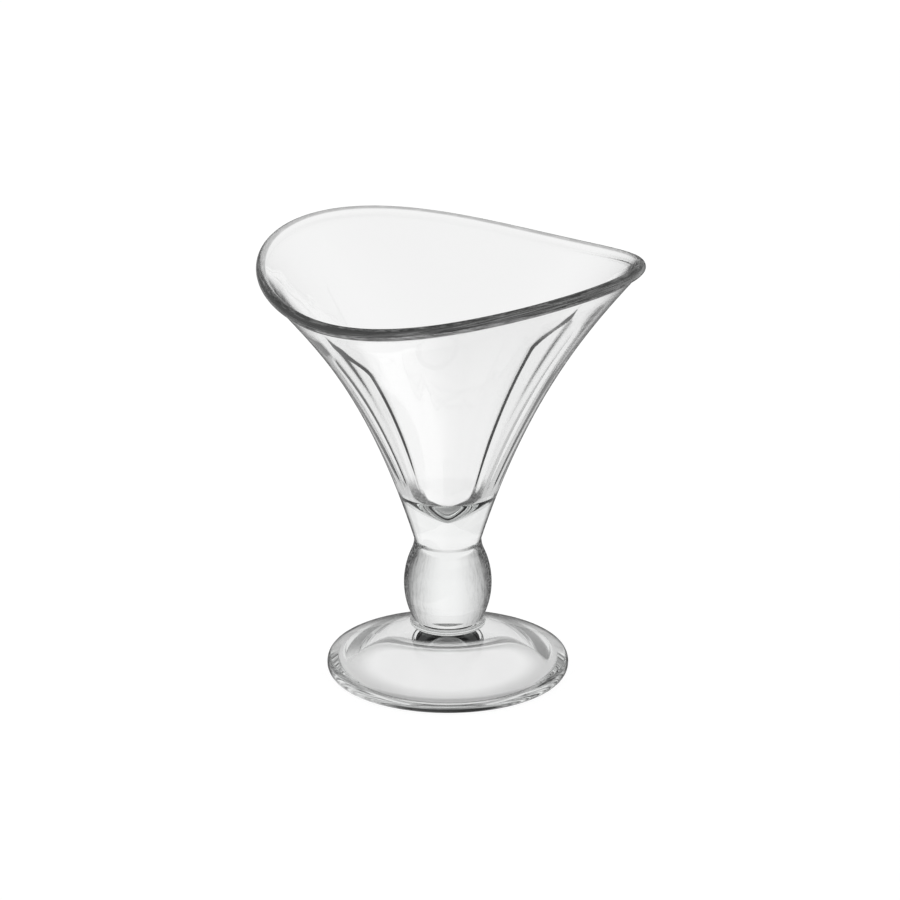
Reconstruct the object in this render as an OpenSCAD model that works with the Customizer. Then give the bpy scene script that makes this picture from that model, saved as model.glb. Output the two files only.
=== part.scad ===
// Dessert glass of clear pressed glass: a wide flared bowl with a waved, beaded rim,
// a solid barrel knop with a ring below it, and a domed round foot, hollow underneath.

/* [Foot] */
// Diameter of the foot
foot_d = 80; // [66:1:100]
// Height of the rounded edge of the foot
foot_edge_h = 5.6; // [4.6:0.1:7]
// How far the edge bulges past its top and bottom corners
foot_edge_bulge = 1.8; // [1.4:0.1:2.4]
// Height of the dome where the stem ring sits on it
dome_h = 16.2; // [14:0.1:20]
// Width of the flat ring that the glass stands on
rest_ring_w = 4.7; // [3:0.1:8]
// Depth of the hollow under the foot, at its middle
hollow_h = 11; // [8:0.1:12]

/* [Stem] */
// Diameter of the ring between foot and knop
ring_d = 25; // [24:0.1:30]
// Height of that ring
ring_h = 2.4; // [1.6:0.1:3.2]
// Diameter of the knop at its widest
knop_d = 29; // [27:0.1:34]
// Radius of the knop's bowed side
knop_side_r = 27; // [24:0.5:34]
// Height of the knop's widest place above the ring
knop_mid_h = 12.4; // [11:0.1:13]
// Height of the neck above the knop's widest place
neck_rise = 15.5; // [14:0.1:17]
// Diameter of the neck, where the bowl starts
neck_d = 22.2; // [21.4:0.1:24]

/* [Bowl] */
// Height from the neck to the middle height of the rim
bowl_h = 93.3; // [80:0.1:110]
// Diameter of the mouth, along the middle of the bead
mouth_d = 121.8; // [110:0.2:130]
// Lean of the wall from upright, just above the neck
neck_lean = 17; // [12:0.5:20]
// Lean of the wall from upright, at the rim
rim_lean = 40; // [34:0.5:46]
// How far up the wall the lean at the neck pulls
neck_pull = 54; // [40:0.5:60]
// How far down the wall the lean at the rim pulls
rim_pull = 26; // [16:0.5:34]
// Thickness of the glass near the rim
wall = 2.8; // [2.4:0.1:3.2]
// Thickness of the wall where the floor of the bowl begins
heel_wall = 4.5; // [3.6:0.1:6.6]
// Solid glass between the neck and the lowest point inside
floor_h = 8.9; // [6:0.1:14]
// Depth of the dished floor of the bowl
floor_dish_h = 6.5; // [4:0.1:8]

/* [Rim] */
// Thickness of the bead along the rim
bead_d = 3.5; // [3.4:0.1:4.4]
// How far the two lips rise, and the sides dip, from the middle height
lip_rise = 5.2; // [0:0.1:8]
// How much the leading lip rises past the other one, to each side of the middle
lip_lead = 2.1; // [0:0.1:4]
// How far the rim widens for each millimetre that it rises
lip_spread = 0.5; // [0.2:0.05:0.8]

/* [Petals] */
// Angle that each broad petal inside the bowl takes up
petal_w = 70; // [60:2:84]
// Depth that each petal is hollowed into the wall
petal_depth = 0.35; // [0.2:0.05:0.8]
// Turn of the petals from the lips
petal_turn = -4; // [-15:1:15]
// Distance below the rim at which neighbouring petals begin to part
petal_part_h = 8; // [5:0.5:16]

/* [Hidden] */

around = 72;
wall_rings = 16;
bead_rings = 8;
inner_rings = 22;
floor_rings = 5;
floor_side = 0.1;
floor_flat = 0.15;
heel_run_power = 2;
petals = 4;
petal_edge_power = 20;
petal_part_run = 13;
petal_top_run = 6;
petal_foot_run = 30;
neck_tuck = 2;
seat = 0.1;

foot_r = foot_d / 2;
edge_r = foot_r - foot_edge_bulge;
rest_in_r = edge_r - rest_ring_w;
hollow_r = (rest_in_r * rest_in_r + hollow_h * hollow_h) / (2 * hollow_h);
ring_r = ring_d / 2;
ring_top = dome_h + ring_h;
ring_edge_r = ring_h / 2;
knop_r = knop_d / 2;
knop_z = ring_top + knop_mid_h;
neck_r = neck_d / 2;
neck_z = knop_z + neck_rise;
rim_z = neck_z + bowl_h;
mouth_r = mouth_d / 2;
bead_r = bead_d / 2;
floor_z = neck_z + floor_h;
heel_z = floor_z + floor_dish_h;

// Points along an arc in the plane of the section
function arc(c, r, a0, a1, n) =
    [for (k = [0 : n]) c + r * [cos(a0 + (a1 - a0) * k / n), sin(a0 + (a1 - a0) * k / n)]];

// Point at t on a curve with four control points
function bezier(p, t) =
    pow(1 - t, 3) * p[0] + 3 * pow(1 - t, 2) * t * p[1] + 3 * (1 - t) * t * t * p[2] + pow(t, 3) * p[3];

// Direction of that curve at t
function bezier_way(p, t) =
    let (d = pow(1 - t, 2) * (p[1] - p[0]) + 2 * (1 - t) * t * (p[2] - p[1]) + t * t * (p[3] - p[2]))
    d / norm(d);

// Value of t at which the curve reaches the height z
function bezier_at(p, z, lo = 0, hi = 1, n = 20) =
    n == 0 ? (lo + hi) / 2
    : bezier(p, (lo + hi) / 2)[1] < z ? bezier_at(p, z, (lo + hi) / 2, hi, n - 1)
    : bezier_at(p, z, lo, (lo + hi) / 2, n - 1);

function ease(x) = let (u = min(1, max(0, x))) u * u * (3 - 2 * u);

// Unit vectors along the wall and out of it, for a lean from upright
function along(lean) = [sin(lean), cos(lean)];
function out_of(lean) = [cos(lean), -sin(lean)];

// Wave of the rim: height above its middle, and the middle of the bead
function rim_wave(a) = lip_rise * cos(2 * a) + lip_lead * cos(a);
function bead_at(a) = [mouth_r + lip_spread * rim_wave(a), rim_z + rim_wave(a)];

// Outside of the bowl at one angle, from the neck to the bead
function wall_curve(a) =
    let (top = bead_at(a) + out_of(rim_lean) * (wall - bead_r))
    [[neck_r - seat, neck_z],
     [neck_r - seat, neck_z] + neck_pull * along(neck_lean),
     top - rim_pull * along(rim_lean),
     top];

// Half of the angle that a petal takes up, at the depth h below the rim
function petal_half(h) =
    180 / petals - (180 / petals - petal_w / 2) * ease((h - petal_part_h) / petal_part_run);

// Depth of the petals at the angle a, height z and depth h below the rim
function petal(a, z, h) =
    let (pitch = 360 / petals,
         off = a - petal_turn - pitch * floor((a - petal_turn) / pitch) - pitch / 2,
         fade = ease((h - bead_d) / petal_top_run) * ease((z - heel_z) / petal_foot_run))
    petal_depth * fade * max(0, 1 - pow(off / petal_half(h), petal_edge_power));

// Section of the bowl at one angle: from inside the stem up the outside, round the bead
// and down the inside
function bowl_section(a) =
    let (p = wall_curve(a),
         c = bead_at(a),
         lap = acos(wall / bead_r - 1),
         t_end = bezier_at(p, c[1] - bead_r * sin(rim_lean + lap)),
         t_heel = bezier_at(p, heel_z),
         heel_way = bezier_way(p, t_heel),
         heel = bezier(p, t_heel) - heel_wall * [heel_way[1], -heel_way[0]],
         floor_curve = [heel,
                        heel - heel_way * floor_dish_h * floor_side,
                        [heel[0] * floor_flat, floor_z],
                        [0, floor_z]])
    concat(
        [p[0] - neck_tuck * along(neck_lean)],
        [for (k = [0 : wall_rings]) bezier(p, k / wall_rings * t_end)],
        [for (k = [0 : bead_rings])
            let (b = -lap + (180 + lap) * k / bead_rings)
            c + bead_r * (cos(b) * out_of(rim_lean) + sin(b) * along(rim_lean))],
        [for (k = [1 : inner_rings])
            let (t = t_heel + (1 - t_heel) * (1 - k / inner_rings),
                 q = bezier(p, t),
                 w = bezier_way(p, t),
                 up = (t - t_heel) / (1 - t_heel),
                 thick = wall + (heel_wall - wall) * pow(1 - up, heel_run_power),
                 deep = petal(a, q[1], c[1] - q[1]))
            q - (thick - deep) * [w[1], -w[0]]],
        [for (k = [1 : floor_rings - 1]) bezier(floor_curve, k / floor_rings)]);

// The lofted bowl; its wall crosses the stem at the neck, and its lower end is inside the stem
module bowl() {
    step = 360 / around;
    rings = len(bowl_section(0));
    points = concat(
        [for (i = [0 : around - 1])
            let (a = petal_turn + i * step)
            for (q = bowl_section(a)) [q[0] * cos(a), q[0] * sin(a), q[1]]],
        [[0, 0, floor_z]]);
    middle = around * rings;
    faces = concat(
        [[for (i = [0 : around - 1]) i * rings]],
        [for (i = [0 : around - 1], j = [0 : rings - 2])
            let (n = (i + 1) % around)
            each [[i * rings + j, i * rings + j + 1, n * rings + j + 1],
                  [i * rings + j, n * rings + j + 1, n * rings + j]]],
        [for (i = [0 : around - 1])
            [i * rings + rings - 1, middle, (i + 1) % around * rings + rings - 1]]);
    polyhedron(points, faces, convexity = 6);
}

// Foot and stem, turned about the axis, with a short plug that stands up inside the bowl
module stem_and_foot() {
    knop_c = [knop_r - knop_side_r, knop_z];
    gap = [neck_r, neck_z] - knop_c;
    turn_r = (gap * gap - knop_side_r * knop_side_r) / (2 * (knop_side_r - gap[0]));
    turn_c = [neck_r + turn_r, neck_z];
    meet = atan2(turn_c[1] - knop_z, turn_c[0] - knop_c[0]);
    knop_low = -asin((knop_mid_h - 1) / knop_side_r);
    edge_c = [edge_r, foot_edge_h / 2];
    rotate_extrude($fn = 144)
        polygon(concat(
            [[0, hollow_h]],
            [for (k = [1 : 9])
                let (b = asin(rest_in_r / hollow_r) * k / 9)
                [hollow_r * sin(b), hollow_h - hollow_r * (1 - cos(b))]],
            [for (k = [0 : 10])
                let (b = -90 + 160 * k / 10)
                edge_c + [foot_edge_bulge * cos(b), foot_edge_h / 2 * sin(b)]],
            [[ring_r, dome_h]],
            arc([ring_r - ring_edge_r, dome_h + ring_edge_r], ring_edge_r, -60, 90, 6),
            arc(knop_c, knop_side_r, knop_low, meet, 14),
            arc(turn_c, turn_r, 180 + meet, 180, 6),
            [[neck_r, neck_z + neck_tuck], [0, neck_z + neck_tuck]]));
}

module glass() {
    color([0.93, 0.95, 0.95, 0.45])
        union() {
            stem_and_foot();
            bowl();
        }
}

glass();
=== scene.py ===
# Dressed scene for the dessert glass: one clear pressed-glass piece on a pale table.
import math
from types import SimpleNamespace

import bpy
import numpy as np
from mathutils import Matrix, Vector


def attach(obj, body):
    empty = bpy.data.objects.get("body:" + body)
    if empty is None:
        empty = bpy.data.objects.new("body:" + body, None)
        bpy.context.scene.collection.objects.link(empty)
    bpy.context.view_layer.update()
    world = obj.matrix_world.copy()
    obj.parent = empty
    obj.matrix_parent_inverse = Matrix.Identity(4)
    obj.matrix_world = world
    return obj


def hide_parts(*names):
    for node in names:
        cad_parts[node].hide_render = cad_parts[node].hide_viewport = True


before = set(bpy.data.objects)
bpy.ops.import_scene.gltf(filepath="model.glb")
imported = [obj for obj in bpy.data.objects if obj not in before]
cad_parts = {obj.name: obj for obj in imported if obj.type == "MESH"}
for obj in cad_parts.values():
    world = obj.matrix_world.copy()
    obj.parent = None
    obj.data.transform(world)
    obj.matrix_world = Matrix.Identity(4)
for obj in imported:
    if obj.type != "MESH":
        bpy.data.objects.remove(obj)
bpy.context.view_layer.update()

# ---------------------------------------------------------------- sizes, in millimetres and degrees
# They repeat the named values of the part's source.
FOOT_R, EDGE_H, EDGE_BULGE, DOME_H, REST_W, HOLLOW_H = 40.0, 5.6, 1.8, 16.2, 4.7, 11.0
RING_R, RING_H, KNOP_R, KNOP_SIDE_R, KNOP_MID_H = 12.5, 2.4, 14.5, 27.0, 12.4
NECK_RISE, NECK_R = 15.5, 11.1
BOWL_H, MOUTH_R, NECK_LEAN, RIM_LEAN, NECK_PULL, RIM_PULL = 93.3, 60.9, 17.0, 40.0, 54.0, 26.0
WALL, HEEL_WALL, FLOOR_H, FLOOR_DISH_H = 2.8, 4.5, 8.9, 6.5
FLOOR_SIDE, FLOOR_FLAT = 0.1, 0.15
BEAD_D, LIP_RISE, LIP_LEAD, LIP_SPREAD = 3.5, 5.2, 2.1, 0.5
PETALS, PETAL_W, PETAL_DEPTH, PETAL_TURN = 4, 70.0, 0.35, -4.0
PETAL_PART_H, PETAL_PART_RUN = 8.0, 13.0
PETAL_EDGE_POWER, PETAL_TOP_RUN, PETAL_FOOT_RUN = 20, 6.0, 30.0
SEAT = 0.1

KNOP_Z = DOME_H + RING_H + KNOP_MID_H
NECK_Z = KNOP_Z + NECK_RISE
RIM_Z = NECK_Z + BOWL_H
FLOOR_Z = NECK_Z + FLOOR_H
HEEL_Z = FLOOR_Z + FLOOR_DISH_H
BEAD_R = BEAD_D / 2

# Only in the scene: the wall swells softly into the bead ...
SWELL_FROM, SWELL_RUN, WALL_END = 0.2, 3.0, 0.35
# ... and the plunger left faint waves: how many go round, how deep they are, and their phase
RIPPLES = ((23, 0.030, 0.4), (31, 0.026, 2.1), (43, 0.016, 4.0))
RIPPLE_DRIFT, RIPPLE_LENGTH, RIPPLE_FADE = 0.9, 17, 10

# Points along each stretch of the outline, and how the wall's points crowd towards the rim
HOLLOW_N, REST_N, EDGE_N, DOME_N, RING_N, KNOP_N, TURN_N = 20, 5, 24, 10, 10, 28, 10
OUTER_N, BEAD_N, INNER_N, FLOOR_N = 52, 26, 90, 22
OUTER_CROWD, INNER_CROWD = 1.6, 1.4
# Directions round the axis: close together for PART_ANGLE to both sides of where two petals part
PITCH = 360 / PETALS
PART_ANGLE, PART_N, BROAD_N = 12, 18, 46
STEPS = np.concatenate([np.linspace(0, PART_ANGLE, PART_N)[:-1],
                        np.linspace(PART_ANGLE, PITCH - PART_ANGLE, BROAD_N)[:-1],
                        np.linspace(PITCH - PART_ANGLE, PITCH, PART_N)[:-1]])
ANGLES = np.concatenate([PETAL_TURN + PITCH * k + STEPS for k in range(PETALS)])
SHARP_ANGLE = 38


def sind(a):
    return np.sin(np.radians(a))


def cosd(a):
    return np.cos(np.radians(a))


def along(lean):
    return np.array([sind(lean), cosd(lean)])


def out_of(lean):
    return np.array([cosd(lean), -sind(lean)])


def square(way):
    """Directions out of the wall, for directions up along it."""
    return np.stack([way[:, 1], -way[:, 0]], 1)


def ease(x):
    u = np.clip(x, 0, 1)
    return u * u * (3 - 2 * u)


def arc(c, r, a0, a1, n):
    a = np.linspace(a0, a1, n + 1)
    return np.stack([c[0] + r * cosd(a), c[1] + r * sind(a)], 1)


def bezier(p, t):
    t = np.asarray(t)[..., None]
    return (1 - t) ** 3 * p[0] + 3 * (1 - t) ** 2 * t * p[1] + 3 * (1 - t) * t * t * p[2] + t ** 3 * p[3]


def bezier_way(p, t):
    t = np.asarray(t)[..., None]
    d = (1 - t) ** 2 * (p[1] - p[0]) + 2 * (1 - t) * t * (p[2] - p[1]) + t * t * (p[3] - p[2])
    return d / np.linalg.norm(d, axis=-1, keepdims=True)


def bezier_at(p, value, axis):
    """Value of t at which the curve reaches the value on one axis."""
    lo, hi = 0.0, 1.0
    for _ in range(40):
        mid = (lo + hi) / 2
        if bezier(p, mid)[axis] < value:
            lo = mid
        else:
            hi = mid
    return (lo + hi) / 2


# ---------------------------------------------------------------- foot, ring, knop and neck
def stem_outline():
    """Outline from the middle of the hollow, round the foot and up to the neck."""
    edge_c = np.array([FOOT_R - EDGE_BULGE, EDGE_H / 2])
    rest_in = edge_c[0] - REST_W
    hollow_r = (rest_in ** 2 + HOLLOW_H ** 2) / (2 * HOLLOW_H)
    b = np.linspace(0, math.degrees(math.asin(rest_in / hollow_r)), HOLLOW_N)
    hollow = np.stack([hollow_r * sind(b), HOLLOW_H - hollow_r * (1 - cosd(b))], 1)
    rest = np.stack([np.linspace(rest_in, edge_c[0], REST_N)[1:-1], np.zeros(REST_N - 2)], 1)
    b = np.linspace(-90, 70, EDGE_N)
    edge = np.stack([edge_c[0] + EDGE_BULGE * cosd(b), edge_c[1] + EDGE_H / 2 * sind(b)], 1)
    dome = edge[-1] + (np.array([RING_R, DOME_H]) - edge[-1]) * np.linspace(0, 1, DOME_N)[1:, None]
    ring_edge_r = RING_H / 2
    ring = arc((RING_R - ring_edge_r, DOME_H + ring_edge_r), ring_edge_r, -60, 90, RING_N)
    knop_c = np.array([KNOP_R - KNOP_SIDE_R, KNOP_Z])
    gap = np.array([NECK_R, NECK_Z]) - knop_c
    turn_r = (gap @ gap - KNOP_SIDE_R ** 2) / (2 * (KNOP_SIDE_R - gap[0]))
    turn_c = np.array([NECK_R + turn_r, NECK_Z])
    meet = math.degrees(math.atan2(turn_c[1] - KNOP_Z, turn_c[0] - knop_c[0]))
    low = -math.degrees(math.asin((KNOP_MID_H - 1) / KNOP_SIDE_R))
    knop = arc(knop_c, KNOP_SIDE_R, low, meet, KNOP_N)
    turn = arc(turn_c, turn_r, 180 + meet, 180, TURN_N)[1:]
    return np.concatenate([hollow, rest, edge, dome, ring, knop, turn])


# ---------------------------------------------------------------- bowl
def rim_wave(a):
    return LIP_RISE * cosd(2 * a) + LIP_LEAD * cosd(a)


def petal(a, z, h):
    """Depth of the petals at the angle a, the height z and the depth h below the rim."""
    off = (a - PETAL_TURN) % PITCH - PITCH / 2
    half = PITCH / 2 - (PITCH / 2 - PETAL_W / 2) * ease((h - PETAL_PART_H) / PETAL_PART_RUN)
    fade = ease((h - BEAD_D) / PETAL_TOP_RUN) * ease((z - HEEL_Z) / PETAL_FOOT_RUN)
    return PETAL_DEPTH * fade * np.maximum(0, 1 - np.abs(off / half) ** PETAL_EDGE_POWER)


def ripple(a, z, h):
    """Faint upright waves left in the inside by the plunger."""
    wave = sum(size * np.sin(np.radians(n * a) + phase + RIPPLE_DRIFT * np.sin(z / RIPPLE_LENGTH + phase))
               for n, size, phase in RIPPLES)
    return wave * ease((h - BEAD_D) / RIPPLE_FADE) * ease((z - HEEL_Z) / RIPPLE_FADE)


def bowl_outline(a):
    """Outline at the angle a from the neck up the outside, round the bead and down the inside."""
    w = rim_wave(a)
    c = np.array([MOUTH_R + LIP_SPREAD * w, RIM_Z + w])
    top = c + out_of(RIM_LEAN) * (WALL - BEAD_R)
    foot = np.array([NECK_R - SEAT, NECK_Z])
    p = [foot, foot + NECK_PULL * along(NECK_LEAN), top - RIM_PULL * along(RIM_LEAN), top]
    t_start = bezier_at(p, NECK_R, 0)
    t_end = bezier_at(p, top[1] - WALL_END * cosd(RIM_LEAN), 1)
    t_heel = bezier_at(p, HEEL_Z, 1)

    t = t_start + (t_end - t_start) * (1 - (1 - np.linspace(0, 1, OUTER_N)) ** OUTER_CROWD)
    q, way = bezier(p, t), bezier_way(p, t)
    below = (top - q) @ along(RIM_LEAN)
    swell = (2 * BEAD_R - WALL) * (1 - ease((below - SWELL_FROM) / SWELL_RUN))
    outer = q + swell[:, None] * square(way)

    b = np.linspace(-10, 180, BEAD_N)
    bead = c + BEAD_R * (cosd(b)[:, None] * out_of(RIM_LEAN) + sind(b)[:, None] * along(RIM_LEAN))

    t = t_heel + (1 - t_heel) * (1 - np.linspace(0, 1, INNER_N) ** INNER_CROWD)
    q, way = bezier(p, t), bezier_way(p, t)
    up = (t - t_heel) / (1 - t_heel)
    z, h = q[:, 1], c[1] - q[:, 1]
    thick = WALL + (HEEL_WALL - WALL) * (1 - up) ** 2 - petal(a, z, h) + ripple(a, z, h)
    inner = q - thick[:, None] * square(way)

    heel = inner[-1]
    dish = [heel, heel - way[-1] * FLOOR_DISH_H * FLOOR_SIDE,
            np.array([heel[0] * FLOOR_FLAT, FLOOR_Z]), np.array([0, FLOOR_Z])]
    floor = bezier(dish, np.linspace(0, 1, FLOOR_N)[1:])
    return np.concatenate([outer, bead[1:], inner[1:], floor])


def build_glass():
    """One closed mesh: the outlines side by side, closed at the axis below and above."""
    stem = stem_outline()
    s = np.stack([np.concatenate([stem, bowl_outline(a)]) for a in ANGLES])    # around, rings, (r, z)
    low_z, high_z = s[0, 0, 1], s[0, -1, 1]
    ring = s[:, 1:-1]
    around, n = ring.shape[:2]
    ca, sa = cosd(ANGLES)[:, None], sind(ANGLES)[:, None]
    v = np.stack([ring[..., 0] * ca, ring[..., 0] * sa, ring[..., 1]], -1).reshape(-1, 3)
    v = np.concatenate([v, [[0, 0, low_z], [0, 0, high_z]]])
    low, high = len(v) - 2, len(v) - 1
    faces = []
    for i in range(around):
        j = (i + 1) % around
        for k in range(n - 1):
            faces.append((i * n + k, j * n + k, j * n + k + 1, i * n + k + 1))
        faces.append((low, j * n, i * n))
        faces.append((i * n + n - 1, j * n + n - 1, high))
    me = bpy.data.meshes.new("glass_clear")
    me.from_pydata((v / 1000).tolist(), [], faces)
    me.validate()
    me.polygons.foreach_set("use_smooth", [True] * len(me.polygons))
    me.set_sharp_from_angle(angle=math.radians(SHARP_ANGLE))
    me.update()
    ob = bpy.data.objects.new("glass_clear", me)
    bpy.context.scene.collection.objects.link(ob)
    return ob


# ---------------------------------------------------------------- shader helpers
def put(nt, place, value):
    """Link a socket to the input, or set the input to a number."""
    if isinstance(value, bpy.types.NodeSocket):
        nt.links.new(value, place)
    else:
        place.default_value = value


def node(nt, kind, operation=None, **links):
    """Add a shader node; i0, i1 and so on give a number or a socket for each input."""
    n = nt.nodes.new("ShaderNode" + kind)
    if operation:
        n.operation = operation
    for name, value in links.items():
        put(nt, n.inputs[int(name[1:])], value)
    return n


def maths(nt, operation, *values):
    n = node(nt, "Math", operation)
    for place, value in zip(n.inputs, values):
        put(nt, place, value)
    return n.outputs[0]


def times(nt, first, *others):
    for other in others:
        first = maths(nt, "MULTIPLY", first, other)
    return first


def largest(nt, first, *others):
    for other in others:
        first = maths(nt, "MAXIMUM", first, other)
    return first


def smooth(nt, value, lo, hi, first=0.0, last=1.0):
    """Go softly from first to last while the value goes from lo to hi."""
    n = nt.nodes.new("ShaderNodeMapRange")
    n.interpolation_type = "SMOOTHSTEP"
    for name, v in (("From Min", lo), ("From Max", hi), ("To Min", first), ("To Max", last)):
        n.inputs[name].default_value = v
    nt.links.new(value, n.inputs["Value"])
    return n.outputs[0]


def mix(nt, factor, a, b):
    return node(nt, "Mix", i0=factor, i2=a, i3=b).outputs[0]


def mix_colour(nt, factor, a, b, blend="MIX"):
    n = nt.nodes.new("ShaderNodeMix")
    n.data_type, n.blend_type = "RGBA", blend
    for place, value in ((0, factor), (6, a), (7, b)):
        put(nt, n.inputs[place], value)
    return n.outputs[2]


def ramp(nt, value, stops):
    """Grey levels at stated places of a colour ramp."""
    n = node(nt, "ValToRGB", i0=value)
    elements = n.color_ramp.elements
    while len(elements) < len(stops):
        elements.new(0.5)
    for e, (at, level) in zip(elements, stops):
        e.position, e.color = at, (level, level, level, 1)
    return n.outputs[0]


def facing(nt, normal=None):
    """Layer Weight's Facing: 0 where the surface faces the eye, 1 where it turns away."""
    n = node(nt, "LayerWeight")
    n.inputs["Blend"].default_value = 0.5
    if normal is not None:
        nt.links.new(normal, n.inputs["Normal"])
    return n.outputs["Facing"]


def noise(nt, roughness, scale, detail, *stretch):
    """Noise over a vector whose parts are given as pairs of a value and its factor."""
    parts = {f"i{k}": times(nt, value, factor) for k, (value, factor) in enumerate(stretch)}
    n = nt.nodes.new("ShaderNodeTexNoise")
    n.inputs["Scale"].default_value = scale
    n.inputs["Detail"].default_value = detail
    n.inputs["Roughness"].default_value = roughness
    nt.links.new(node(nt, "CombineXYZ", **parts).outputs[0], n.inputs["Vector"])
    return n.outputs["Fac"]


def place_parts(nt):
    """Object coordinates in metres: as a vector, z, the level part, and the distance from the axis."""
    co = node(nt, "TexCoord").outputs["Object"]
    split = node(nt, "SeparateXYZ", i0=co)
    flat = node(nt, "CombineXYZ", i0=split.outputs[0], i1=split.outputs[1], i2=0.0)
    away = node(nt, "VectorMath", "LENGTH", i0=flat.outputs[0])
    return co, split.outputs[2], flat.outputs[0], away.outputs["Value"]


# ---------------------------------------------------------------- glass
# Heights at which the look of the glass changes softly, in metres above the table: from, to
REST = (0.0012, 0.0024)
BAND_LOW, BAND_HIGH = (0.0038, 0.0042), (0.0050, 0.0056)
EDGE_TOP = (0.0045, 0.007)
DOME_TOP = (0.0125, 0.0155)
STEM_LOW, STEM_HIGH = (0.017, 0.020), (0.061, 0.068)
NECK = (0.0435, 0.047)
JOINT_LOW, JOINT_HIGH = (0.0452, 0.0457), (0.0461, 0.0466)
BOWL = (0.062, 0.072)
RIM = (0.120, 0.126)
# ... and above the middle of the bead
CREASE_LOW, CREASE_HIGH = (-0.0027, -0.0021), (-0.0009, -0.0003)
BEAD_SIDE = (-0.0023, -0.0012)
CREST = (0.0010, 0.0015)

# Grey levels of painted shade on the solid stem from its middle to its sides, and on all glass that turns
# away
SIDE_STOPS = ((0.0, 1.0), (0.08, 1.0), (0.16, 0.78), (0.24, 0.60), (0.33, 0.42), (0.42, 0.28), (0.52, 0.10),
              (0.60, 0.03), (1.0, 0.003))
EDGE_STOPS = ((0.0, 1.0), (0.74, 1.0), (0.87, 0.30), (1.0, 0.01))
# On the neck only a thin line of painted shade at the side is dark: factor and shift of its Facing
NECK_FACTOR, NECK_SHIFT = 3.5, -1.63
WHITE = (1, 1, 1, 1)


def above_bead(nt, x, z, away):
    """Height above the middle of the bead, along the waved rim."""
    c = maths(nt, "DIVIDE", x, away)
    lead = maths(nt, "MULTIPLY_ADD", c, LIP_LEAD / 1000, -LIP_RISE / 1000)
    wave = maths(nt, "MULTIPLY_ADD", times(nt, c, c), 2 * LIP_RISE / 1000, lead)
    return maths(nt, "SUBTRACT", maths(nt, "SUBTRACT", z, wave), RIM_Z / 1000)


def glass_places(nt):
    """Sockets that say where on the glass a point lies."""
    co, z, flat, away = place_parts(nt)
    split = node(nt, "SeparateXYZ", i0=co)
    geometry = node(nt, "NewGeometry")
    front = maths(nt, "SUBTRACT", 1.0, geometry.outputs["Backfacing"])
    outward = node(nt, "VectorMath", "DOT_PRODUCT", i0=flat, i1=geometry.outputs["Normal"])
    stem = times(nt, smooth(nt, z, *STEM_LOW), smooth(nt, z, *STEM_HIGH, 1.0, 0.0))
    return SimpleNamespace(
        z=z, away=away, front=front,
        h=above_bead(nt, split.outputs[0], z, away),
        turn=maths(nt, "ARCTAN2", split.outputs[1], split.outputs[0]),
        radial=node(nt, "VectorMath", "NORMALIZE", i0=flat).outputs[0],
        outward=outward.outputs["Value"],
        stem=times(nt, stem, front),
        drawn=times(nt, front, smooth(nt, z, *REST)))


def into_side(nt, g, side):
    """How far a point of the solid stem lies towards its sides of painted dark shade, with upright streaks
    of painted shade.
    """
    thin = maths(nt, "MULTIPLY_ADD", side, NECK_FACTOR, NECK_SHIFT)
    into = mix(nt, smooth(nt, g.z, *NECK), side, thin)
    # painted shade: upright noisy streaks that darken the stem's sides further
    streak_noise = noise(nt, 0.7, 1.6, 5.0, (g.turn, 9.0), (g.z, 110.0))
    painted_streaks = times(nt, smooth(nt, streak_noise, 0.40, 0.75, -0.02, 0.11), smooth(nt, side, 0.08, 0.3))
    return maths(nt, "ADD", into, painted_streaks)


def painted_shade_colour(nt, g, into, turned):
    """White, but painted shade makes it grey towards the stem's sides, where the surface turns away and in
    one band.
    """
    side_shade = mix_colour(nt, g.stem, WHITE, ramp(nt, into, SIDE_STOPS))
    line = mix_colour(nt, g.drawn, side_shade, ramp(nt, turned, EDGE_STOPS), "MULTIPLY")
    # a painted dark band of shade goes round the top of the foot's rolled edge
    band = times(nt, smooth(nt, g.z, *BAND_LOW), smooth(nt, g.z, *BAND_HIGH, 0.72, 0.0), g.front)
    banded = node(nt, "VectorMath", "SCALE", i0=line)
    nt.links.new(maths(nt, "SUBTRACT", 1.0, band), banded.inputs["Scale"])
    return banded.outputs[0]


def painted_shade_lines(nt, g, side, into, turned):
    """How far painted dark lines of shade cover the surface."""
    # the painted outline shade starts sooner on the bead and on the foot's edge
    sooner = maths(nt, "MULTIPLY_ADD", smooth(nt, g.h, *BEAD_SIDE), 0.05, turned)
    sooner = maths(nt, "ADD", sooner, smooth(nt, g.z, *EDGE_TOP, 0.16, 0.0))
    outline = times(nt, smooth(nt, sooner, 0.80, 0.96, 0.0, 0.9), g.drawn)
    # painted shade along the crease under the bead, on the outside, and along the line where the knop meets
    # the neck
    crease = times(nt, smooth(nt, g.h, *CREASE_LOW, 0.0, 0.85), smooth(nt, g.h, *CREASE_HIGH, 1.0, 0.0),
                   g.front, smooth(nt, g.outward, 0.0, 0.001))
    joint_shade = times(nt, smooth(nt, g.z, *JOINT_LOW), smooth(nt, g.z, *JOINT_HIGH, 1.0, 0.0),
                  g.front, smooth(nt, side, 0.0, 0.35, 0.12, 0.7))
    # painted shade on the crest of the bead, and on the outermost sides of the stem
    crest = times(nt, smooth(nt, g.h, *CREST, 0.0, 0.45), g.front)
    knop_side = times(nt, smooth(nt, into, 0.5, 0.8, 0.0, 0.9), g.stem)
    return largest(nt, outline, crease, joint_shade, crest, knop_side)


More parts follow.
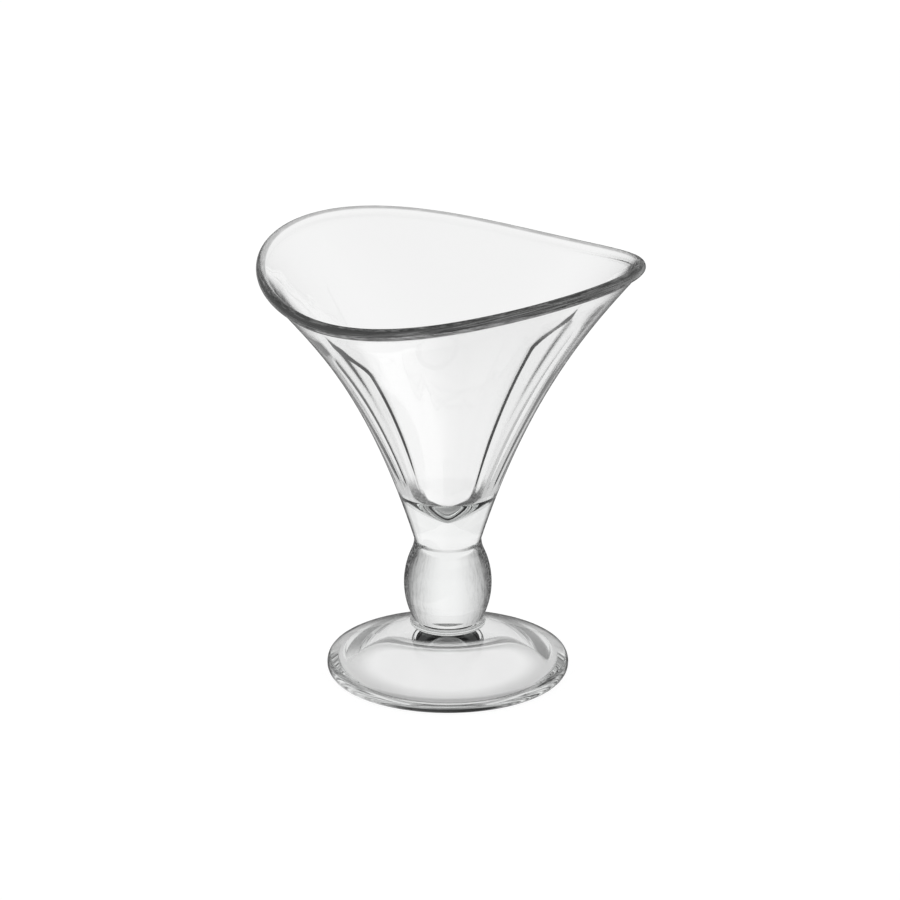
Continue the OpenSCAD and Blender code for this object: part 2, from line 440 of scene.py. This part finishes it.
def caught_light(nt, g):
    """Level of the painted glow that stands in for light caught in the thick edges, in fine streaks that
    run round them.
    """
    streak = noise(nt, 0.65, 9.0, 4.0, (g.turn, 0.2), (g.away, 160.0), (g.z, 160.0))
    foot = times(nt, smooth(nt, streak, 0.36, 0.66, 0.06, 0.95), smooth(nt, g.z, *DOME_TOP, 1.0, 0.03))
    low = maths(nt, "ADD", foot, smooth(nt, g.z, *BOWL, 0.0, 0.045))
    return mix(nt, smooth(nt, g.z, *RIM), low, smooth(nt, streak, 0.45, 0.75, 0.035, 0.55))


def glass_material():
    m = bpy.data.materials.new("clear_pressed_glass")
    m.use_nodes = True
    nt = m.node_tree
    b = nt.nodes["Principled BSDF"]
    out = nt.nodes["Material Output"]
    b.inputs["Roughness"].default_value = 0.0
    b.inputs["IOR"].default_value = 1.5
    b.inputs["Transmission Weight"].default_value = 1.0
    vol = nt.nodes.new("ShaderNodeVolumeAbsorption")
    vol.inputs["Color"].default_value = (0.80, 0.84, 0.82, 1)
    vol.inputs["Density"].default_value = 8.0
    nt.links.new(vol.outputs["Volume"], out.inputs["Volume"])

    g = glass_places(nt)
    side = facing(nt, g.radial)
    into = into_side(nt, g, side)
    turned = facing(nt)
    nt.links.new(painted_shade_colour(nt, g, into, turned), b.inputs["Base Color"])

    # light that has been mirrored inside again and again is replaced by a painted glow, the caught light
    caught = node(nt, "Emission", i1=caught_light(nt, g))
    deep = maths(nt, "GREATER_THAN", node(nt, "LightPath").outputs["Glossy Depth"], 2.5)
    lit = node(nt, "MixShader", i0=deep, i1=b.outputs[0], i2=caught.outputs[0])
    # the painted dark lines of shade are finely broken too
    fine = noise(nt, 0.7, 9.0, 4.0, (g.turn, 1.2), (g.away, 130.0), (g.z, 130.0))
    dark = node(nt, "Emission", i1=smooth(nt, fine, 0.42, 0.70, 0.04, 0.34))
    lines = painted_shade_lines(nt, g, side, into, turned)
    lined = node(nt, "MixShader", i0=lines, i1=lit.outputs[0], i2=dark.outputs[0])
    nt.links.new(lined.outputs[0], out.inputs["Surface"])
    return m


# ---------------------------------------------------------------- surroundings
# Level of the sky: from, to (height of the direction), near the horizon, overhead
SKY_FALL = (0.5, 0.85, 0.90, 0.35)
SKY_MIRRORED = 0.4
# The floor is a disc just under the foot; sizes in metres
FLOOR_R, FLOOR_CORNERS, FLOOR_SINK = 6.0, 96, -0.0004
FLOOR_PALE, FLOOR_GLOW, FLOOR_THROUGH = (0.22, 0.22, 0.22, 1), 0.90, 0.91
# Painted contact shadow on the floor: where it rises, where it falls off, and how much it darkens
CONTACT_IN, CONTACT_OUT, CONTACT_DARK = (0.024, 0.033), (0.038, 0.043), -0.35
# Level directions to the right in the photo, and towards its camera
RIGHT, NEAR = (0.743, 0.669, 0.0), (0.669, -0.743, 0.0)
PATCH_SLANT, PATCH_SIDE, PATCH_RIGHT = -0.634, (-0.072, -0.069), (-0.030, 0.022)
PATCH_NEAR, PATCH_FAR, PATCH_LEVEL = (-0.02, 0.0), (0.09, 0.12), 1.1


def surroundings(nt, plain, mirrored_part, outside_only=False):
    """Level of the surroundings: 1 for the camera, plain through the glass, less once mirrored in it."""
    ray = node(nt, "LightPath")
    mirrored = maths(nt, "GREATER_THAN", ray.outputs["Glossy Depth"], 0.5)
    if outside_only:
        mirrored = times(nt, mirrored, maths(nt, "LESS_THAN", ray.outputs["Transmission Depth"], 0.5))
    level = times(nt, mix(nt, mirrored, 1.0, mirrored_part), plain)
    return largest(nt, ray.outputs["Is Camera Ray"], level)


def floor_disc():
    me = bpy.data.meshes.new("table_top")
    turns = [k * math.tau / FLOOR_CORNERS for k in range(FLOOR_CORNERS)]
    corners = [(FLOOR_R * math.cos(a), FLOOR_R * math.sin(a), FLOOR_SINK) for a in turns]
    me.from_pydata(corners, [], [tuple(range(FLOOR_CORNERS))])
    ob = bpy.data.objects.new("table_top", me)
    bpy.context.scene.collection.objects.link(ob)
    return ob


def floor_material():
    m = bpy.data.materials.new("table_white")
    m.use_nodes = True
    nt = m.node_tree
    nt.nodes.clear()
    dif = node(nt, "BsdfDiffuse", i0=FLOOR_PALE)
    co, _, _, away = place_parts(nt)
    # a painted contact shadow: darker where the glass stands
    contact_shadow = times(nt, smooth(nt, away, *CONTACT_IN), smooth(nt, away, *CONTACT_OUT, 1.0, 0.0))
    shade = maths(nt, "MULTIPLY_ADD", contact_shadow, CONTACT_DARK, 1.0)
    # a bright patch in front that the wall mirrors, with one sharp side
    u = node(nt, "VectorMath", "DOT_PRODUCT", i0=co, i1=RIGHT).outputs["Value"]
    v = node(nt, "VectorMath", "DOT_PRODUCT", i0=co, i1=NEAR).outputs["Value"]
    past = maths(nt, "MULTIPLY_ADD", v, PATCH_SLANT, u)
    patch = times(nt, smooth(nt, past, *PATCH_SIDE), smooth(nt, u, *PATCH_RIGHT, 1.0, 0.0),
                  smooth(nt, v, *PATCH_NEAR), smooth(nt, away, *PATCH_FAR, 1.0, 0.0))
    mirrored = maths(nt, "MULTIPLY_ADD", patch, PATCH_LEVEL, smooth(nt, v, -0.06, 0.0, 0.72, 0.40))
    # painted shade: seen mirrored, the floor under the glass is half as bright
    mirrored = times(nt, mirrored, smooth(nt, away, 0.018, 0.034, 0.5, 1.0))
    level = surroundings(nt, times(nt, shade, FLOOR_THROUGH), mirrored)
    emi = node(nt, "Emission", i1=times(nt, level, FLOOR_GLOW))
    add = node(nt, "AddShader", i0=dif.outputs[0], i1=emi.outputs[0])
    nt.links.new(add.outputs[0], node(nt, "OutputMaterial").inputs["Surface"])
    return m


def sky():
    """The light comes from the whole sky: white near the horizon, grey overhead."""
    world = bpy.data.worlds.new("studio")
    world.use_nodes = True
    nt = world.node_tree
    nt.nodes.clear()
    split = node(nt, "SeparateXYZ", i0=node(nt, "TexCoord").outputs["Generated"])
    fall = smooth(nt, split.outputs["Z"], *SKY_FALL)
    bg = node(nt, "Background", i0=WHITE, i1=surroundings(nt, fall, SKY_MIRRORED, True))
    nt.links.new(bg.outputs[0], node(nt, "OutputWorld").inputs["Surface"])
    return world


# ---------------------------------------------------------------- build
glass = build_glass()
glass.data.materials.append(glass_material())
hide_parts("glass")
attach(glass, "root")

floor = floor_disc()
floor.data.materials.append(floor_material())
bpy.context.scene.world = sky()

# ---------------------------------------------------------------- camera
# The photo's camera: direction, level distance and height in metres, and the picture in pixels
CAM_TURN, CAM_FAR, CAM_UP, AIM_UP = -48, 1.8, 0.74558, 0.075
PICTURE, FOCAL, MIDDLE_X, MIDDLE_Y = 900, 5857.43, 447.8, 456.52
SENSOR = 36

cam_d = bpy.data.cameras.new("photo_view")
cam = bpy.data.objects.new("photo_view", cam_d)
bpy.context.scene.collection.objects.link(cam)
az = math.radians(CAM_TURN)
cam.location = (CAM_FAR * math.cos(az), CAM_FAR * math.sin(az), CAM_UP)
cam.rotation_euler = (Vector((0, 0, AIM_UP)) - cam.location).to_track_quat("-Z", "Y").to_euler()
cam_d.sensor_width = SENSOR
cam_d.lens = FOCAL / PICTURE * SENSOR
cam_d.shift_x = (PICTURE / 2 - MIDDLE_X) / PICTURE
cam_d.shift_y = (MIDDLE_Y - PICTURE / 2) / PICTURE
cam_d.clip_start = 0.05
cam_d.clip_end = 50
bpy.context.scene.camera = cam

vs = bpy.context.scene.view_settings
vs.view_transform = "Standard"
